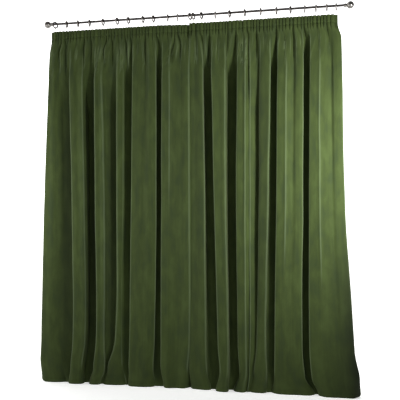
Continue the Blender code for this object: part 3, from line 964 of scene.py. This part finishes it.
def ballFinial(side, material):
    size = finialSizes
    arc = np.radians(np.linspace(0, size["ballArc"], size["ballRows"]))
    ball = [(size["ballRadius"] * math.sin(a), size["ballRadius"] * math.cos(a)) for a in arc]
    collar, mouth, bore = size["collarRadius"], size["mouth"], size["bore"]
    eased = collar - size["collarBevel"]
    neck = [(size["neckRadius"], along) for along in size["neck"]]
    neck += zip((eased, collar), size["shoulder"])
    neck += [(collar, mouth + size["collarBevel"]), (eased, mouth), (bore, mouth),
             (bore, mouth + size["boreDepth"]), (0.0, mouth + size["boreDepth"])]
    bm = spun(ball + neck)
    place = Vector((size["ballX"], poleSizes["y"], poleSizes["z"]))
    if side == "left":
        half = Matrix.Rotation(math.pi, 3, "Z")
        bmesh.ops.rotate(bm, verts=bm.verts[:], cent=(0, 0, 0), matrix=half)
        place.x = -place.x
    bmesh.ops.translate(bm, verts=bm.verts[:], vec=place)
    name = "ball_" + side
    piece = newObject(name, meshFrom(bm, name), material)
    piece.data.set_sharp_from_angle(angle=math.radians(poleSizes["sharpAngle"]))
    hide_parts("finial_" + side)
    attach(piece, "root")


ringSizes = {
    "inner": 0.0135,
    "wire": 0.0046,
    "segments": 44,
    "wireSides": 12,
    "poleGap": 0.0003,
    "eyeRadius": 0.0045,
    "eyeWire": 0.0014,
    "eyeSunk": 0.0025,
    "eyeSegments": 22,
    "eyeSides": 8,
}
# X along the pole in mm and turn about the vertical in degrees
ringTables = {
    "left": ((-923, -34), (-843, 6), (-764, 9), (-684, 5), (-591, -4), (-494, -12),
             (-419, -9), (-321, -6), (-252, -8), (-157, 7), (-92, 14), (-12, -20)),
    "right": ((10, -20), (62, -14), (150, 5), (241, -11), (337, -6), (436, -2),
              (533, -7), (619, -9), (706, 3), (773, 4), (838, -5), (893, -3)),
}


def ringDrop():
    # A ring hangs on the pole, so its centre is below the pole's; the solids' rings have 14 sides
    across = ringSizes["inner"] * math.cos(math.pi / 14)
    return across - poleSizes["radius"] - ringSizes["poleGap"]


def eyeDrop():
    size = ringSizes
    return size["inner"] + size["wire"] + size["eyeSunk"] + size["eyeRadius"]


def hoop(bm, radius, wire, axis, centre, segments, sides):
    # A closed ring of round wire, spun from a circle of its section
    out = Vector((0, 0, 1))
    turn = Vector(axis).cross(out)
    section = bmesh.ops.create_circle(bm, radius=wire, segments=sides)["verts"]
    upright = Matrix((out, Vector(axis), turn)).transposed().to_4x4()
    bmesh.ops.transform(bm, matrix=upright, verts=section)
    bmesh.ops.translate(bm, verts=section, vec=Vector(centre) + out * radius)
    edges = list(dict.fromkeys(edge for vert in section for edge in vert.link_edges))
    bmesh.ops.spin(bm, geom=section + edges, cent=centre, axis=axis,
                   angle=2 * math.pi, steps=segments, use_merge=True)


def curtainRing(side, number, x, turn, material):
    size = ringSizes
    bm = bmesh.new()
    hoop(bm, size["inner"] + size["wire"], size["wire"], (1, 0, 0), (0, 0, 0),
         size["segments"], size["wireSides"])
    hoop(bm, size["eyeRadius"], size["eyeWire"], (0, 1, 0), (0, 0, -eyeDrop()),
         size["eyeSegments"], size["eyeSides"])
    bmesh.ops.recalc_face_normals(bm, faces=bm.faces[:])
    turned = Matrix.Rotation(math.radians(turn), 3, "Z")
    bmesh.ops.rotate(bm, verts=bm.verts[:], cent=(0, 0, 0), matrix=turned)
    place = (x, poleSizes["y"], poleSizes["z"] - ringDrop())
    bmesh.ops.translate(bm, verts=bm.verts[:], vec=place)
    name = "hoop_%s_%02d" % (side, number)
    piece = newObject(name, meshFrom(bm, name), material)
    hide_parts("ring_%s_%02d" % (side, number))
    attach(piece, "root")


hookSizes = {
    "wire": 0.0014,
    "crook": 0.0036,
    "crookTurns": (-25, 5, 35, 62, 90, 118, 145, 180),  # degrees round the eye's wire
    "drop": 0.0400,  # foot below the heading's top
    "bend": 0.0025,
    "bendFlat": 0.001,
    "bendLift": 0.0004,
    "legY": -0.0015,
    "leg": 0.0220,
}


def tapeHook(panel, number, x, turn, material):
    # A white hook from the ring's eye, down behind the heading and up into the tape's pocket
    size = hookSizes
    side = panel["side"]
    crook, bend, flat, lift = size["crook"], size["bend"], size["bendFlat"], size["bendLift"]
    crookZ = -eyeDrop() - ringSizes["eyeRadius"]
    turns = np.radians(size["crookTurns"])
    route = [(-crook * math.cos(a), crookZ + crook * math.sin(a)) for a in turns]
    legY = size["legY"] - float(headingForward(panel, x))
    footZ = cloth["headingTop"] - poleSizes["z"] + ringDrop() - size["drop"]
    middle = (crook + legY) / 2
    route += [(crook, footZ + bend), (middle + flat, footZ + lift), (middle, footZ),
              (middle - flat, footZ + lift), (legY, footZ + bend), (legY, footZ + size["leg"])]
    data = bpy.data.curves.new("hook", "CURVE")
    data.dimensions = "3D"
    data.bevel_depth = size["wire"]
    data.bevel_resolution = 3
    data.use_fill_caps = True
    spline = data.splines.new("POLY")
    spline.points.add(len(route) - 1)
    for point, (y, z) in zip(spline.points, route):
        point.co = (0, y, z, 1)
    shape = bpy.data.objects.new("hookShape", data)
    mesh = bpy.data.meshes.new_from_object(shape)
    bpy.data.objects.remove(shape)
    mesh.transform(Matrix.Translation((x, poleSizes["y"], poleSizes["z"] - ringDrop()))
                   @ Matrix.Rotation(math.radians(turn), 4, "Z"))
    mesh.materials.clear()
    mesh.shade_smooth()
    name = "nylon_%s_%02d" % (side, number)
    piece = newObject(name, mesh, material)
    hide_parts("hook_%s_%02d" % (side, number))
    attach(piece, "root")


studio = {
    "cameraPlace": (0.753, -3.677, 1.016),
    "cameraYaw": 10.77,
    "cameraPitch": 2.24,
    "lens": 54.0,
    "sensor": 36.0,
    # The wall behind is bright and the room in front of the curtains dim
    "wallBrightness": 2.40,
    "roomBrightness": 0.22,
    "wallStarts": -0.05,
    "wallFull": 0.45,
    "leftShare": 0.70,  # how far the bright side reaches round to the left
    "floorSize": 14.0,
    "floorZ": -0.0012,
}
floorLook = {
    "shade": "#F1F1F0", "light": "#F4F4F3", "clouds": 0.67,
    "roughness": 0.9, "specular": 0.1, "glow": 0.50,
}
# Place, what it points at, size in metres, power in watts and spread in degrees
Lamp = namedtuple("Lamp", "name place aim size power spread")
lamps = (
    Lamp("keyLight", (2.10, -1.45, 1.48), (0.95, 0.0, 1.42), 0.6, 25, 72),
    Lamp("fillLight", (-2.3, -1.0, 1.30), (-0.85, 0.0, 1.25), 0.6, 8, 80),
)


def areaLight(lamp):
    data = bpy.data.lights.new(lamp.name, "AREA")
    data.size = lamp.size
    data.energy = lamp.power
    data.spread = math.radians(lamp.spread)
    holder = newObject(lamp.name, data)
    holder.location = lamp.place
    towards = Vector(lamp.aim) - Vector(lamp.place)
    holder.rotation_euler = towards.to_track_quat("-Z", "Y").to_euler()


def studioWorld():
    world = bpy.data.worlds.new("studioRoom")
    world.use_nodes = True
    tree = world.node_tree
    direction = addNode(tree, "ShaderNodeTexCoord").outputs["Generated"]
    parts = addNode(tree, "ShaderNodeSeparateXYZ", {}, {"Vector": direction})
    turned = addNode(tree, "ShaderNodeMath", {"operation": "MULTIPLY_ADD"}, {
        0: parts.outputs["X"], 1: -studio["leftShare"], 2: parts.outputs["Y"]})
    towards = addNode(tree, "ShaderNodeMapRange", {"interpolation_type": "SMOOTHSTEP"}, {
        "Value": turned.outputs["Value"],
        "From Min": studio["wallStarts"], "From Max": studio["wallFull"],
        "To Min": studio["roomBrightness"], "To Max": studio["wallBrightness"]})
    tree.links.new(towards.outputs["Result"], tree.nodes["Background"].inputs["Strength"])
    tree.nodes["Background"].inputs["Color"].default_value = hexColour("#FFFFFF")
    return world


def acrylicFloor():
    # White acrylic sheet, lit softly from below: matt, so that only the contact shadow shows
    look = floorLook
    made, tree, shader = newMaterial("litAcrylicFloor")
    place = addNode(tree, "ShaderNodeTexCoord").outputs["Object"]
    cloud = addNode(tree, "ShaderNodeTexNoise", {}, {
        "Vector": place, "Scale": 1 / look["clouds"], "Detail": 2.0})
    setSurface(tree, shader, cloud.outputs["Fac"], look)
    shader.inputs["Emission Color"].default_value = hexColour("#FFFFFF")
    shader.inputs["Emission Strength"].default_value = look["glow"]
    return made


def setStage():
    camera = bpy.data.cameras.new("camera")
    camera.lens = studio["lens"]
    camera.sensor_width = studio["sensor"]
    holder = newObject("camera", camera)
    holder.location = studio["cameraPlace"]
    pitch, yaw = math.radians(90 + studio["cameraPitch"]), math.radians(studio["cameraYaw"])
    holder.rotation_euler = (pitch, 0, yaw)
    bpy.context.scene.camera = holder
    for lamp in lamps:
        areaLight(lamp)
    bpy.context.scene.world = studioWorld()
    bpy.context.scene.view_settings.view_transform = "Standard"
    bm = bmesh.new()
    bmesh.ops.create_grid(bm, x_segments=2, y_segments=2, size=studio["floorSize"])
    floor = newObject("studio_floor", meshFrom(bm, "studio_floor"), acrylicFloor())
    floor.data.transform(Matrix.Translation((0, 0, studio["floorZ"])))


setStage()
print("stage set")
face, back = velvetFace(), velvetGround()
nylon, tape = mouldedNylon(), wovenTape()
tubePlate = platedSteel("blackNickelPlate")
ringPlate = platedSteel("satinNickelPlate")
ballPlate = platedSteel("polishedChromePlate")
print("materials made")
for panel in (leftPanel, rightPanel):
    velvetPanel(panel, face, back)
    headingTape(panel, tape)
    print("curtain hung:", panel["side"])
poleTube(tubePlate)
for panel in (leftPanel, rightPanel):
    side = panel["side"]
    ballFinial(side, ballPlate)
    for number, (x, turn) in enumerate(ringTables[side], start=1):
        curtainRing(side, number, x * mm, turn, ringPlate)
        tapeHook(panel, number, x * mm, turn, nylon)
print("pole, rings and hooks in place")
